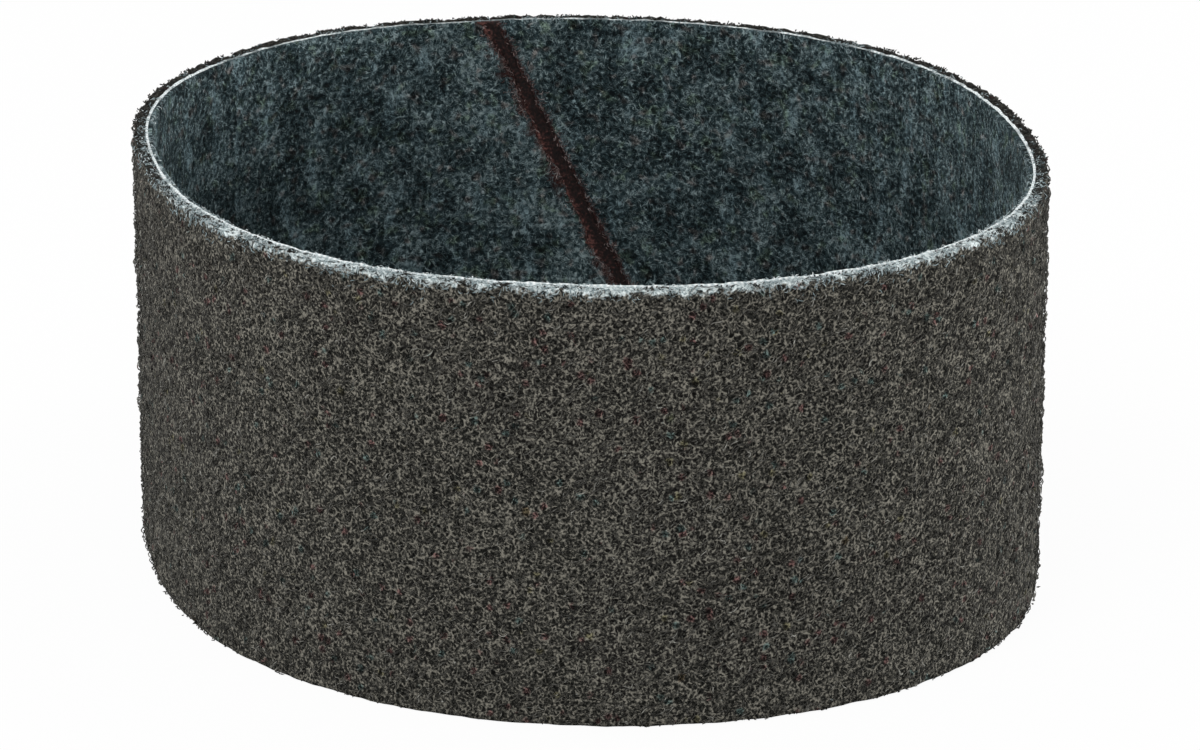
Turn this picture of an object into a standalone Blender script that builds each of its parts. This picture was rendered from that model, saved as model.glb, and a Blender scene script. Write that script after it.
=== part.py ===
"""Non-woven abrasive belt, 75 x 533 mm, for a belt sander, standing on its edge as an open loop.

Units are metres, +Z is up. The origin is at the bottom of the belt, in the middle of the loop.

The belt is made the way the real one is made. Each layer is a flat strip with both ends cut on
the bias. The strips are bent round the same loop, so that their ends meet at a slanting butt
joint. Adhesive fills that joint, and squeezes out as a ragged bead on the inner face.

A point of the flat pattern has three measures: x along the belt, y across its width and z
through its thickness. z is 0 in the middle of the woven scrim, the layer that carries the pull
and therefore keeps the belt's nominal length.
"""

import math

import bmesh
import bpy
import numpy as np
from mathutils import Vector, noise

# The belt
BELT_LENGTH = 0.533
BELT_WIDTH = 0.075

# The layers, from the working face to the inside
WEB_THICKNESS = 0.0022
SCRIM_THICKNESS = 0.0004
FELT_THICKNESS = 0.0006
GLUE_LINE = 0.00015

# The lumps of the open web, which make the working face uneven
LUMP_SIZE = 0.0042
LUMP_HEIGHT = 0.0008

# The loop as it stands free: for each wave round the loop, its number of lobes, its height as
# a share of the radius, and the direction of its first lobe in degrees
LOOP_WAVES = (
    (2, 0.0779, 106.3),
    (3, 0.0055, 38.7),
    (4, 0.0133, 49.0),
)

# The splice, with the direction of its top end as seen from the middle of the loop
SPLICE_BIAS_DEG = 26.0
SPLICE_TOP_DEG = 101.9
FIT_GAP = 0.0003

# The adhesive: its film between the belt's ends, and its bead on the inner face, which has
# deep lobes along one edge and shallow ones along the other. An edge is the mean of waves of
# so many turns, each with its own phase in radians.
FILM_THICKNESS = 0.0004
FILM_BELOW_FACE = 0.0009
BEAD_THICKNESS = 0.00035
BEAD_LIP = 0.0005
BEAD_BEVEL = 0.0004
DEEP_LOBES = 0.0012
SHALLOW_LOBES = 0.0004
EDGE_TURNS = (3, 5, 7)
DEEP_PHASES = (0.4, 2.1, 4.0)
SHALLOW_PHASES = (1.7, 5.2, 3.1)

# How finely the shapes are divided
LOOP_COLUMNS = 164
WEB_ROWS = 21
BEAD_ROWS = 30
OUTLINE_STEPS = 3600
CRISP_EDGE_DEG = 35
TOLERANCE = 1e-6

# Where each layer lies through the thickness
SCRIM_OUTSIDE = SCRIM_THICKNESS / 2
SCRIM_INSIDE = -SCRIM_THICKNESS / 2
WEB_INSIDE = SCRIM_OUTSIDE + GLUE_LINE
WEB_OUTSIDE = WEB_INSIDE + WEB_THICKNESS
FELT_OUTSIDE = SCRIM_INSIDE - GLUE_LINE
FELT_INSIDE = FELT_OUTSIDE - FELT_THICKNESS

# Up the splice the joint runs along the belt by this slope, and a width measured square to the
# joint is longer by this factor when it is measured along the belt
BIAS_SLOPE = math.tan(math.radians(SPLICE_BIAS_DEG))
BIAS_STRETCH = 1 / math.cos(math.radians(SPLICE_BIAS_DEG))
SLOT_ALONG = (FILM_THICKNESS + 2 * FIT_GAP) * BIAS_STRETCH


def loop_in_plan():
    """The scrim's middle line in plan: its angles, its lengths, its points and its outward
    directions, with points and directions as complex numbers.

    The radius is one plus the waves, scaled so that the line is as long as the belt. The line
    is then moved so that the working face is centred on the origin.
    """
    angles = np.linspace(0, 2 * math.pi, OUTLINE_STEPS + 1)
    radius = np.ones_like(angles)
    for lobes, height, direction in LOOP_WAVES:
        radius += height * np.cos(lobes * (angles - math.radians(direction)))
    points = radius * np.exp(1j * angles)
    lengths = np.concatenate([[0], np.cumsum(np.abs(np.diff(points)))])
    points *= BELT_LENGTH / lengths[-1]
    lengths *= BELT_LENGTH / lengths[-1]
    tangents = np.roll(points[:-1], -1) - np.roll(points[:-1], 1)
    tangents = np.append(tangents, tangents[0])
    outward = -1j * tangents / np.abs(tangents)
    face = points + outward * WEB_OUTSIDE
    middle_x = (face.real.max() + face.real.min()) / 2
    middle_y = (face.imag.max() + face.imag.min()) / 2
    return angles, lengths, points - complex(middle_x, middle_y), outward


ANGLES, LENGTHS, MIDDLE_LINE, OUTWARD = loop_in_plan()
SPLICE_TOP_ALONG = float(np.interp(math.radians(SPLICE_TOP_DEG), ANGLES, LENGTHS))


def wrap(flat):
    """Bends a point of the flat pattern round the loop."""
    along = flat.x % BELT_LENGTH
    plan = np.interp(along, LENGTHS, MIDDLE_LINE)
    plan += np.interp(along, LENGTHS, OUTWARD) * flat.z
    return Vector((plan.real, plan.imag, flat.y))


def splice_along(height):
    """Where the middle of the splice lies along the belt at a height."""
    return SPLICE_TOP_ALONG - (BELT_WIDTH - height) * BIAS_SLOPE


def lump(flat):
    """How far the open web stands above or below its mean face at a point."""
    return LUMP_HEIGHT * noise.noise(wrap(flat) / LUMP_SIZE)


def flat_slab(inside, outside, rows):
    """A flat slab that is a little too long at both ends, with its columns on the loop's
    facets. Only its outer face has rows. Gives the mesh, and the outer face's points."""
    pitch = BELT_LENGTH / LOOP_COLUMNS
    first = math.floor(splice_along(0) / pitch) - 1
    last = math.ceil((splice_along(BELT_WIDTH) + BELT_LENGTH) / pitch) + 1
    columns = last - first
    bm = bmesh.new()
    bmesh.ops.create_grid(bm, x_segments=columns, y_segments=rows, size=0.5)
    back = set(bm.verts)
    for vertex in back:
        column = first + (vertex.co.x + 0.5) * columns
        vertex.co = (column * pitch, (vertex.co.y + 0.5) * BELT_WIDTH, inside)
    grown = bmesh.ops.extrude_face_region(bm, geom=bm.faces[:], use_keep_orig=True)
    front = [item for item in grown["geom"] if isinstance(item, bmesh.types.BMVert)]
    for vertex in front:
        vertex.co.z = outside
    rungs = [edge for edge in bm.edges if back.issuperset(edge.verts) and is_rung(edge)]
    bmesh.ops.dissolve_edges(bm, edges=rungs, use_verts=True)
    return bm, front


def is_rung(edge):
    """Whether an edge of the flat slab runs along the belt, and not on the belt's own edge."""
    low, high = sorted(vertex.co.y for vertex in edge.verts)
    return high - low < TOLERANCE < low < BELT_WIDTH - TOLERANCE


def trim(bm, along, side):
    """Cuts the flat slab on the bias from (along, 0) upwards, and closes the cut. The part on
    that side, 1 ahead or -1 behind, is removed."""
    cut = bmesh.ops.bisect_plane(
        bm,
        geom=bm.verts[:] + bm.edges[:] + bm.faces[:],
        dist=TOLERANCE,
        plane_co=(along, 0, 0),
        plane_no=(side, -side * BIAS_SLOPE, 0),
        clear_outer=True,
    )
    rim = [item for item in cut["geom_cut"] if isinstance(item, bmesh.types.BMEdge)]
    bmesh.ops.holes_fill(bm, edges=rim)


def add_layer(name, inside, outside, rows, relief, material, collection):
    """One layer of the belt: a flat slab, trimmed on the bias and bent round the loop. relief
    gives how far the outer face stands out at a point, or is None."""
    bm, front = flat_slab(inside, outside, rows)
    if relief:
        for vertex in front:
            vertex.co.z += relief(vertex.co)
    trim(bm, splice_along(0) + SLOT_ALONG / 2, -1)
    trim(bm, splice_along(0) + BELT_LENGTH - SLOT_ALONG / 2, 1)
    for vertex in bm.verts:
        vertex.co = wrap(vertex.co)
    return add_object(name, bm, material, collection)


def unevenness(height, phases):
    """A slow uneven wave up the splice, from 0 to 1: the mean of its waves, lifted and halved."""
    rise = 2 * math.pi * height / BELT_WIDTH
    waves = [math.sin(n * rise + phase) for n, phase in zip(EDGE_TURNS, phases, strict=True)]
    return (1 + sum(waves) / len(waves)) / 2


def adhesive_section(height):
    """The adhesive's T section in the flat pattern: the film's tip at the top, then the bead
    from its seat to its crest, with a bevel along both edges."""
    film = FILM_THICKNESS / 2
    deep = film + BEAD_LIP + DEEP_LOBES * unevenness(height, DEEP_PHASES)
    shallow = film + BEAD_LIP + SHALLOW_LOBES * unevenness(height, SHALLOW_PHASES)
    tip = WEB_OUTSIDE - FILM_BELOW_FACE
    seat = FELT_INSIDE - FIT_GAP
    crest = seat - BEAD_THICKNESS
    section = (
        (film, tip),
        (-film, tip),
        (-film, seat),
        (-shallow, seat),
        (BEAD_BEVEL - shallow, crest),
        (deep - BEAD_BEVEL, crest),
        (deep, seat),
        (film, seat),
    )
    middle = splice_along(height)
    return [Vector((middle + x * BIAS_STRETCH, height, z)) for x, z in section]


def add_adhesive(material, collection):
    """The cured adhesive: a straight bar of its section at the foot, divided into rows, each
    of which then takes its own section."""
    bm = bmesh.new()
    foot = adhesive_section(0)
    face = bm.faces.new([bm.verts.new(point) for point in reversed(foot)])
    grown = bmesh.ops.extrude_face_region(bm, geom=[face], use_keep_orig=True)
    top = [item for item in grown["geom"] if isinstance(item, bmesh.types.BMVert)]
    bmesh.ops.translate(bm, verts=top, vec=(0, BELT_WIDTH, 0))
    sides = [edge for edge in bm.edges if edge.calc_length() > BELT_WIDTH - TOLERANCE]
    bmesh.ops.subdivide_edges(bm, edges=sides, cuts=BEAD_ROWS - 1, use_grid_fill=True)
    for vertex in bm.verts:
        height = vertex.co.y
        at_foot = vertex.co - Vector((0, height, 0))
        corner = min(range(len(foot)), key=lambda index: (foot[index] - at_foot).length)
        vertex.co = wrap(adhesive_section(height)[corner])
    return add_object("splice_adhesive", bm, material, collection)


def add_object(name, bm, material, collection):
    """Makes the mesh one of the belt's objects, with smooth faces and crisp edges."""
    mesh = bpy.data.meshes.new(name)
    bm.to_mesh(mesh)
    bm.free()
    mesh.materials.append(material)
    mesh.shade_smooth()
    mesh.set_sharp_from_angle(angle=math.radians(CRISP_EDGE_DEG))
    part = bpy.data.objects.new(name, mesh)
    collection.objects.link(part)
    return part


def add_material(name, colour, roughness):
    """A Principled material of one linear colour."""
    material = bpy.data.materials.new(name)
    material.use_nodes = True
    shader = material.node_tree.nodes["Principled BSDF"]
    shader.inputs["Base Color"].default_value = (*colour, 1)
    shader.inputs["Roughness"].default_value = roughness
    shader.inputs["Metallic"].default_value = 0
    material.diffuse_color = (*colour, 1)
    return material


def build():
    """Clears the scene, and builds the belt's three layers and the adhesive of its splice."""
    for old in list(bpy.data.objects):
        bpy.data.objects.remove(old, do_unlink=True)
    belt = bpy.data.collections.new("non_woven_belt")
    bpy.context.scene.collection.children.link(belt)

    nylon = add_material("charcoal nylon web", (0.055, 0.052, 0.048), 0.95)
    cloth = add_material("pale woven cloth", (0.62, 0.68, 0.70), 0.85)
    felt = add_material("blue grey felt", (0.045, 0.075, 0.080), 0.95)
    glue = add_material("dark red adhesive", (0.035, 0.012, 0.012), 0.45)

    add_layer("abrasive_web", WEB_INSIDE, WEB_OUTSIDE, WEB_ROWS, lump, nylon, belt)
    add_layer("woven_scrim", SCRIM_INSIDE, SCRIM_OUTSIDE, 1, None, cloth, belt)
    add_layer("felt_backing", FELT_INSIDE, FELT_OUTSIDE, 1, None, felt, belt)
    add_adhesive(glue, belt)


build()
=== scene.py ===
# %% [markdown]
# # A non-woven abrasive belt
# This is an endless belt for a belt sander, standing on its edge as an open loop. It is soft and
# fibrous all over: a dark open tangle of nylon outside, a thin pale cloth in the middle of the
# wall, a blue-grey felt inside, and a dark red line of adhesive where the two ends meet on the
# bias. None of that shows on plain solids, so every layer gets a surface of its own here, and
# thousands of real fibres lie on those surfaces.
#
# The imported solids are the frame. Nothing moves away from them: all sizes below are read from
# them, and each new piece takes the place of one solid or lies on it.

# %% Load the frame
import math

import bpy
import numpy as np
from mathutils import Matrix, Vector


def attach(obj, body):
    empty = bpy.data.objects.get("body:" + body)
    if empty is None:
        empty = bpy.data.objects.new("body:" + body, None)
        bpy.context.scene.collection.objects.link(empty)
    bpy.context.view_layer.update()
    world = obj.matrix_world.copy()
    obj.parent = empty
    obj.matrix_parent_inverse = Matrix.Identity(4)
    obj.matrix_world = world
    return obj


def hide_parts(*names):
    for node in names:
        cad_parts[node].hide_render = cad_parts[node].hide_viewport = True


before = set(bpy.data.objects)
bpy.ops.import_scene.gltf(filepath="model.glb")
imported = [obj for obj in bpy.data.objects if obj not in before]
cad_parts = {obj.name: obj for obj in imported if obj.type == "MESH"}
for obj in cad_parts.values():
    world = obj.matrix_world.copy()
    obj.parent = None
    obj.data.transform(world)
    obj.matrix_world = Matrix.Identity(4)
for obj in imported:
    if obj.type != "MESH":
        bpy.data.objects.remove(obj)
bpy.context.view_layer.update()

MM = 0.001
print("solids:", sorted(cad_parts))

# %% [markdown]
# ## The loop
# Every layer follows one curve, the middle of the woven cloth. Its solid's points are all close
# to that curve, so a least-squares fit of a short Fourier series to their radius gives it back
# as a smooth formula. From it come the lengths along the belt and the outward directions.
#
# After this, a point of the belt has three measures, as on the flat strip that it was cut from:
# along the belt, up its width, and out through its thickness.

# %% Read the loop off the cloth's solid
LOOP_LOBES = 5
LOOP_STEPS = 7200


def node_points(name):
    """A solid's points, one row each."""
    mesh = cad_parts[name].data
    flat = np.empty(len(mesh.vertices) * 3, np.float32)
    mesh.vertices.foreach_get("co", flat)
    return flat.reshape(-1, 3).astype(float)


def lobes(angle):
    """One column each for 1, cos a, sin a, cos 2a, sin 2a and so on up to the last lobe."""
    columns = [np.ones_like(angle)]
    for turns in range(1, LOOP_LOBES + 1):
        columns += [np.cos(turns * angle), np.sin(turns * angle)]
    return np.stack(columns, axis=-1)


cloth_points = node_points("woven_scrim")
cloth_plan = cloth_points[:, 0] + 1j * cloth_points[:, 1]
radius_terms = np.linalg.lstsq(lobes(np.angle(cloth_plan)), np.abs(cloth_plan), rcond=None)[0]

loop_angles = np.linspace(0, 2 * math.pi, LOOP_STEPS + 1)
loop_line = (lobes(loop_angles) @ radius_terms) * np.exp(1j * loop_angles)
loop_lengths = np.concatenate([[0], np.cumsum(np.abs(np.diff(loop_line)))])
loop_tangents = np.roll(loop_line[:-1], -1) - np.roll(loop_line[:-1], 1)
loop_tangents = np.append(loop_tangents, loop_tangents[0])
loop_outward = -1j * loop_tangents / np.abs(loop_tangents)
BELT_LENGTH = loop_lengths[-1]
BELT_WIDTH = cloth_points[:, 2].max()
print(f"belt {BELT_LENGTH / MM:.1f} mm long and {BELT_WIDTH / MM:.1f} mm wide")


# %% Go between the flat strip and the loop
def place(along, up, out):
    """Points of the loop from their measures on the flat strip: the curve's point at that
    length, plus its outward direction times the distance out, at that height."""
    plan = np.interp(along % BELT_LENGTH, loop_lengths, loop_line)
    plan = plan + np.interp(along % BELT_LENGTH, loop_lengths, loop_outward) * out
    return np.stack([plan.real, plan.imag, up], axis=-1)


def outward_at(along):
    """The outward direction at a length along the belt, as a unit vector."""
    plan = np.interp(along % BELT_LENGTH, loop_lengths, loop_outward)
    return np.stack([plan.real, plan.imag, np.zeros_like(plan.real)], axis=-1)


def facing_front(along):
    """How far the belt's outer face looks to the front, -Y: 1 there, 0 at the back."""
    return 0.5 - 0.5 * np.interp(along % BELT_LENGTH, loop_lengths, loop_outward).imag


FRONT_FROM = 0.42
FRONT_BLEND = 0.38


def near_front(along):
    """1 on the front part of the loop and 0 from its sides to its back, by the curve
    3t^2 - 2t^3 between."""
    share = np.clip((facing_front(along) - FRONT_FROM) / FRONT_BLEND, 0, 1)
    return share**2 * (3 - 2 * share)


def measure(points):
    """The measures along and out of points near the loop. The distance out is the difference
    in radius, times the cosine of the angle between the radius and the outward direction."""
    plan = points[:, 0] + 1j * points[:, 1]
    angle = np.angle(plan) % (2 * math.pi)
    along = np.interp(angle, loop_angles, loop_lengths)
    lean = (plan / np.abs(plan)) * np.interp(angle, loop_angles, loop_outward).conj()
    gap = (np.abs(plan) - lobes(angle) @ radius_terms) * lean.real
    return along + gap * lean.imag, gap


OUTER_FACE_FROM = 1.0 * MM
web_outs = measure(node_points("abrasive_web"))[1]
WEB_OUT = float(np.median(web_outs[web_outs > OUTER_FACE_FROM]))
scrim_outs = measure(cloth_points)[1]
SCRIM_OUT, SCRIM_IN = float(scrim_outs.max()), float(scrim_outs.min())
FELT_IN = float(measure(node_points("felt_backing"))[1].min())
print(f"web to {WEB_OUT / MM:.2f}, cloth {SCRIM_OUT / MM:.2f} to {SCRIM_IN / MM:.2f},",
      f"felt to {FELT_IN / MM:.2f} mm")

# %% [markdown]
# The splice is read the same way from the adhesive's solid. Its bead has a wavy outline, so for
# each height the bead's two edges are kept as well, to build the real bead on.

# %% Read the splice off the adhesive's solid
glue_points = node_points("splice_adhesive")
glue_along, glue_out = measure(glue_points)
SPLICE_SLOPE, SPLICE_FOOT = np.polyfit(glue_points[:, 2], glue_along, 1)
GLUE_TIP = float(glue_out.max())
GLUE_CREST = float(glue_out.min())


def splice_at(up):
    """Where the splice lies along the belt at a height."""
    return SPLICE_FOOT + SPLICE_SLOPE * up


SAME_ROW = 0.1 * MM
bead_here = glue_out < FELT_IN
bead_up = glue_points[bead_here, 2]
bead_side = (glue_along - splice_at(glue_points[:, 2]))[bead_here]
bead_rows = np.unique(bead_up.round(4))
bead_left = np.array([bead_side[np.abs(bead_up - up) < SAME_ROW].max() for up in bead_rows])
bead_right = np.array([bead_side[np.abs(bead_up - up) < SAME_ROW].min() for up in bead_rows])
print(f"splice leans {math.degrees(math.atan(SPLICE_SLOPE)):.1f} degrees,",
      f"bead {(bead_left - bead_right).mean() / MM:.2f} mm wide in {len(bead_rows)} rows")

# %% [markdown]
# ## Uneven surfaces
# Nothing on this belt is smooth or regular, so each layer needs random unevenness that is the
# same on every run. Random numbers at the corners of a square lattice, blended smoothly in
# between, give lumps of one size. A few sizes together look natural. The lattice follows the
# flat strip, so a pattern runs round the bends, and it breaks only where the real one does, at
# the splice.

# %% Smooth random lumps
LATTICE = 1024


def lumps(along, up, size, seed):
    """Random heights from -1 to 1 at the corners of a lattice with that pitch, blended across
    each square by the curve 3t^2 - 2t^3 in both directions."""
    heights = np.random.default_rng(seed).uniform(-1, 1, (LATTICE, LATTICE))
    x, y = np.broadcast_arrays(along / size, up / size)
    column, row = np.floor(x).astype(int), np.floor(y).astype(int)
    across, rise = (x - column), (y - row)
    across, rise = across**2 * (3 - 2 * across), rise**2 * (3 - 2 * rise)
    low = heights[column % LATTICE, row % LATTICE] * (1 - across)
    low = low + heights[(column + 1) % LATTICE, row % LATTICE] * across
    high = heights[column % LATTICE, (row + 1) % LATTICE] * (1 - across)
    high = high + heights[(column + 1) % LATTICE, (row + 1) % LATTICE] * across
    return low * (1 - rise) + high * rise


def ripples(along, size, seed):
    """The same in one direction only, for what varies along an edge."""
    return lumps(along, 0 * along, size, seed)


# %% The belt's two edges
EDGE_WAVE = 0.20 * MM
EDGE_NICK = 0.08 * MM


def edge(along, seed):
    """How far a cut edge strays from straight: a slow wave of 30 mm and nicks of 2 mm."""
    return EDGE_WAVE * ripples(along, 30 * MM, seed) + EDGE_NICK * ripples(along, 2 * MM, seed + 1)


def height(along, share):
    """The height at a share of the belt's width, from its wavy foot to its wavy top. The foot
    never goes under the floor."""
    foot = EDGE_WAVE + EDGE_NICK + edge(along, 11)
    top = BELT_WIDTH + edge(along, 21)
    return foot + (top - foot) * share


# %% The ground of the working face
WEB_FIBRE_DEPTH = 0.40 * MM
GROUND_LUMPS = ((9 * MM, 0.14, 31), (4 * MM, 0.16, 32), (1.8 * MM, 0.14, 33))


def web_ground(along, up):
    """How far out the ground of the working face lies, under its top fibres: lumps of three
    sizes, set back from the mean face by the depth that the fibres fill."""
    relief = sum(rise * lumps(along, up, size, seed) for size, rise, seed in GROUND_LUMPS)
    return WEB_OUT - WEB_FIBRE_DEPTH + relief * MM


# %% [markdown]
# ## Meshes from arrays
# Two kinds of surface are enough for the whole belt. A layer is a grid that is closed round its
# section, like a long flat tube, and it starts and ends at the splice. A fibre is a thin tube
# with three sides. Both are worked out as whole arrays, and one helper puts an array of points
# and an array of faces into a mesh.

# %% Put arrays into a mesh
triangle_count = 0


def add_piece(name, slot, points, faces, material, strip=None, replaces=None, **values):
    """A mesh object from points and faces of one size. strip is the UV map, which holds the
    measures along and up in metres. A face that closes the loop at the splice gets one belt
    length added to its far corners. Each further value becomes an attribute of points."""
    global triangle_count
    points = np.asarray(points, np.float32).reshape(-1, 3)
    faces = np.asarray(faces, np.int32)
    mesh = bpy.data.meshes.new(name)
    mesh.vertices.add(len(points))
    mesh.vertices.foreach_set("co", points.ravel())
    mesh.loops.add(faces.size)
    mesh.loops.foreach_set("vertex_index", faces.ravel())
    mesh.polygons.add(len(faces))
    mesh.polygons.foreach_set("loop_start", np.arange(len(faces), dtype=np.int32) * faces.shape[1])
    mesh.update(calc_edges=True)
    mesh.shade_smooth()
    if strip is not None:
        corners = np.asarray(strip, np.float32).reshape(-1, 2)[faces]
        furthest = corners[..., 0].max(axis=1, keepdims=True)
        corners[..., 0] += BELT_LENGTH * (corners[..., 0] < furthest - BELT_LENGTH / 2)
        mesh.uv_layers.new(name="strip").data.foreach_set("uv", corners.ravel())
    for label, value in values.items():
        attribute = mesh.attributes.new(label, "FLOAT", "POINT")
        attribute.data.foreach_set("value", np.asarray(value, np.float32).ravel())
    mesh.materials.append(material)
    piece = bpy.data.objects.new(name, mesh)
    bpy.context.scene.collection.objects.link(piece)
    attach(piece, "root")
    if replaces:
        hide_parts(replaces)
    triangles = len(faces) * (faces.shape[1] - 2)
    triangle_count += triangles
    print(f"{name}: {triangles} triangles, {triangle_count} so far")
    return piece


def tube_faces(columns, rows):
    """Quads between the columns of a grid whose rows run round a closed section, and whose last
    column meets its first."""
    column, row = np.meshgrid(np.arange(columns), np.arange(rows), indexing="ij")
    ahead, above = (column + 1) % columns, (row + 1) % rows
    corners = (column * rows + row, ahead * rows + row, ahead * rows + above, column * rows + above)
    return np.stack([corner.ravel() for corner in corners], axis=-1)


# %% Make many fibres at once
FIBRE_SIDES = 3
FIBRE_TAPER = 0.8
SIDE_LEAN = 0.3


def add_fibres(name, slot, along, up, out, thickness, material, tone):
    """Closed three-sided tubes along many paths, one row of measures a path. The sides stand
    round the path on two directions square to it. The first is also square to the outward
    direction, leaned up a little. The radius thins toward both ends by the eighth power of the
    share of the way. tone goes from dark, 0, to light, 1, with one number for each fibre or
    for each step."""
    count, steps = along.shape
    path = place(along, up, out)
    forward = np.gradient(path, axis=1)
    forward /= np.linalg.norm(forward, axis=-1, keepdims=True)
    side = np.cross(forward, outward_at(along) + np.array([0, 0, SIDE_LEAN]))
    side /= np.linalg.norm(side, axis=-1, keepdims=True) + 1e-9
    under = np.cross(forward, side)
    share = np.linspace(-1, 1, steps)
    radius = (1 - FIBRE_TAPER * share**8)[None, :, None] * np.reshape(thickness, (-1, 1, 1)) / 2
    rings = []
    for number in range(FIBRE_SIDES):
        turn = 2 * math.pi * number / FIBRE_SIDES - math.pi / 2
        rings.append(path + radius * (math.cos(turn) * side + math.sin(turn) * under))
    points = np.stack(rings, axis=2)
    index = np.arange(count * steps * FIBRE_SIDES).reshape(count, steps, FIBRE_SIDES)
    here, ahead = index[:, :-1], index[:, 1:]
    here_next, ahead_next = np.roll(here, -1, axis=2), np.roll(ahead, -1, axis=2)
    faces = np.concatenate([
        np.stack([here, here_next, ahead_next], axis=-1).reshape(-1, 3),
        np.stack([here, ahead_next, ahead], axis=-1).reshape(-1, 3),
        index[:, 0, ::-1],
        index[:, -1],
    ])
    tones = np.broadcast_to(np.reshape(np.clip(tone, 0, 1), (count, -1)), (count, steps))
    return add_piece(name, slot, points, faces, material, tone=np.repeat(tones, FIBRE_SIDES))


# %% [markdown]
# ## Materials
# Colours are written as they look on screen, in sRGB hex, and turned to the linear values that
# Blender computes with. One helper adds a node, sets its properties and fills its sockets with
# a value or a link.

# %% Colour and node helpers
def linear(hex_colour):
    """A hex colour as linear RGBA: c / 12.92 up to 0.04045, else ((c + 0.055) / 1.055)^2.4."""
    channels = [int(hex_colour[start : start + 2], 16) / 255 for start in (1, 3, 5)]
    return (*[c / 12.92 if c <= 0.04045 else ((c + 0.055) / 1.055) ** 2.4 for c in channels], 1)


def new_material(name, roughness, specular=0.3):
    """A material with a Principled shader of that finish. Gives it, its tree and its shader."""
    material = bpy.data.materials.new(name)
    material.use_nodes = True
    shader = material.node_tree.nodes["Principled BSDF"]
    shader.inputs["Roughness"].default_value = roughness
    shader.inputs["Specular IOR Level"].default_value = specular
    return material, material.node_tree, shader


def node(tree, kind, sockets=None, stops=None, **settings):
    """Adds a node. settings are its properties, sockets maps an input's name or number to a
    value or to the output that feeds it, and stops are a colour ramp's places and colours."""
    made = tree.nodes.new("ShaderNode" + kind)
    for name, value in settings.items():
        setattr(made, name, value)
    for name, value in (sockets or {}).items():
        if isinstance(value, bpy.types.NodeSocket):
            tree.links.new(value, made.inputs[name])
        else:
            made.inputs[name].default_value = value
    for number, (position, colour) in enumerate(stops or []):
        elements = made.color_ramp.elements
        element = elements[number] if number < 2 else elements.new(position)
        element.position, element.color = position, linear(colour)
    return made


def warped(tree, coordinates, size, push):
    """Coordinates pushed about by noise of a size, by up to half of push in each direction."""
    noise = node(tree, "TexNoise", {"Vector": coordinates, "Scale": 1 / size, "Detail": 1.0})
    return node(
        tree, "VectorMath", {0: noise.outputs["Color"], 1: (push,) * 3, 2: coordinates},
        operation="MULTIPLY_ADD",
    ).outputs[0]


# A Map Range node turns the range between its sockets 1 and 2 to the one between 3 and 4. This
# setting makes both ends soft.
SOFT = {"interpolation_type": "SMOOTHSTEP"}

# %% [markdown]
# ### The nylon web
# The real web is crimped nylon fibre, sprayed with resin and abrasive grain and baked. To the
# eye it is a net of grey-brown strands, about 0.3 mm wide, round near-black pores of about a
# millimetre. The strands nearest the eye are real tubes, made further down. What lies below
# them is drawn in the material, where the near-black of the pores is painted shade of the
# web's depth. The edges of Voronoi cells, bent by noise, are strands that close round a pore.
# Where smooth noise crosses its middle value it draws a curling line, like a fibre, and the
# three colours of one noise texture draw three sets of such lines. Lines that cross each other,
# some brighter than others, look like a net with depth: the dimmer ones are painted shade.
#
# A few spots hold coloured flecks of grain, dark red, teal and olive. The same fleck pattern is
# used for the tubes, so that a fleck tints whatever lies there. It changes only the hue, and
# the light and dark of the strands stay.

# %% Coloured flecks, shared by the web's materials
FLECK_SIZE = 1.5 * MM
FLECKS = (("Red", 0.95, "#5c3c3c"), ("Green", 0.97, "#405452"), ("Blue", 0.985, "#56533c"))
FLECK_STRENGTH = 0.7


def flecked(tree, coordinates, colour):
    """Turns a colour to a fleck's hue near the middle of the few Voronoi cells whose random
    colour is above a limit in one channel."""
    spots = warped(tree, coordinates, 0.7 * MM, 0.8 * MM)
    cells = node(tree, "TexVoronoi", {"Vector": spots, "Scale": 1 / FLECK_SIZE})
    channels = node(tree, "SeparateColor", {"Color": cells.outputs["Color"]})
    middle = node(
        tree, "MapRange",
        {0: cells.outputs["Distance"], 1: 0.25, 2: 0.65, 3: FLECK_STRENGTH, 4: 0.0}, **SOFT,
    ).outputs[0]
    for channel, limit, tint in FLECKS:
        chosen = node(
            tree, "Math", {0: channels.outputs[channel], 1: limit}, operation="GREATER_THAN"
        )
        share = node(tree, "Math", {0: chosen.outputs[0], 1: middle}, operation="MULTIPLY")
        colour = node(
            tree, "Mix", {"Factor": share.outputs[0], 6: colour, 7: linear(tint)},
            data_type="RGBA", blend_type="COLOR",
        ).outputs[2]
    return colour


# %% The net below the top fibres
CELL_PITCH = 1.5 * MM
STRAND_PITCHES = (1.6 * MM, 1.15 * MM, 0.85 * MM)
# Lights below 1 are painted shade on strands that lie deeper in the web.
STRAND_LIGHTS = ((0.9, 0.65, 0.45), (0.75, 0.5, 0.35), (0.4, 0.3))


def contour(tree, value, inner, outer, light):
    """A line of that light where a value is within inner of 0.5, gone by outer."""
    off = node(tree, "Math", {0: value, 1: 0.5}, operation="SUBTRACT")
    off = node(tree, "Math", {0: off.outputs[0]}, operation="ABSOLUTE")
    return node(
        tree, "MapRange", {0: off.outputs[0], 1: inner, 2: outer, 3: light, 4: 0.0}, **SOFT
    ).outputs[0]


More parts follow.
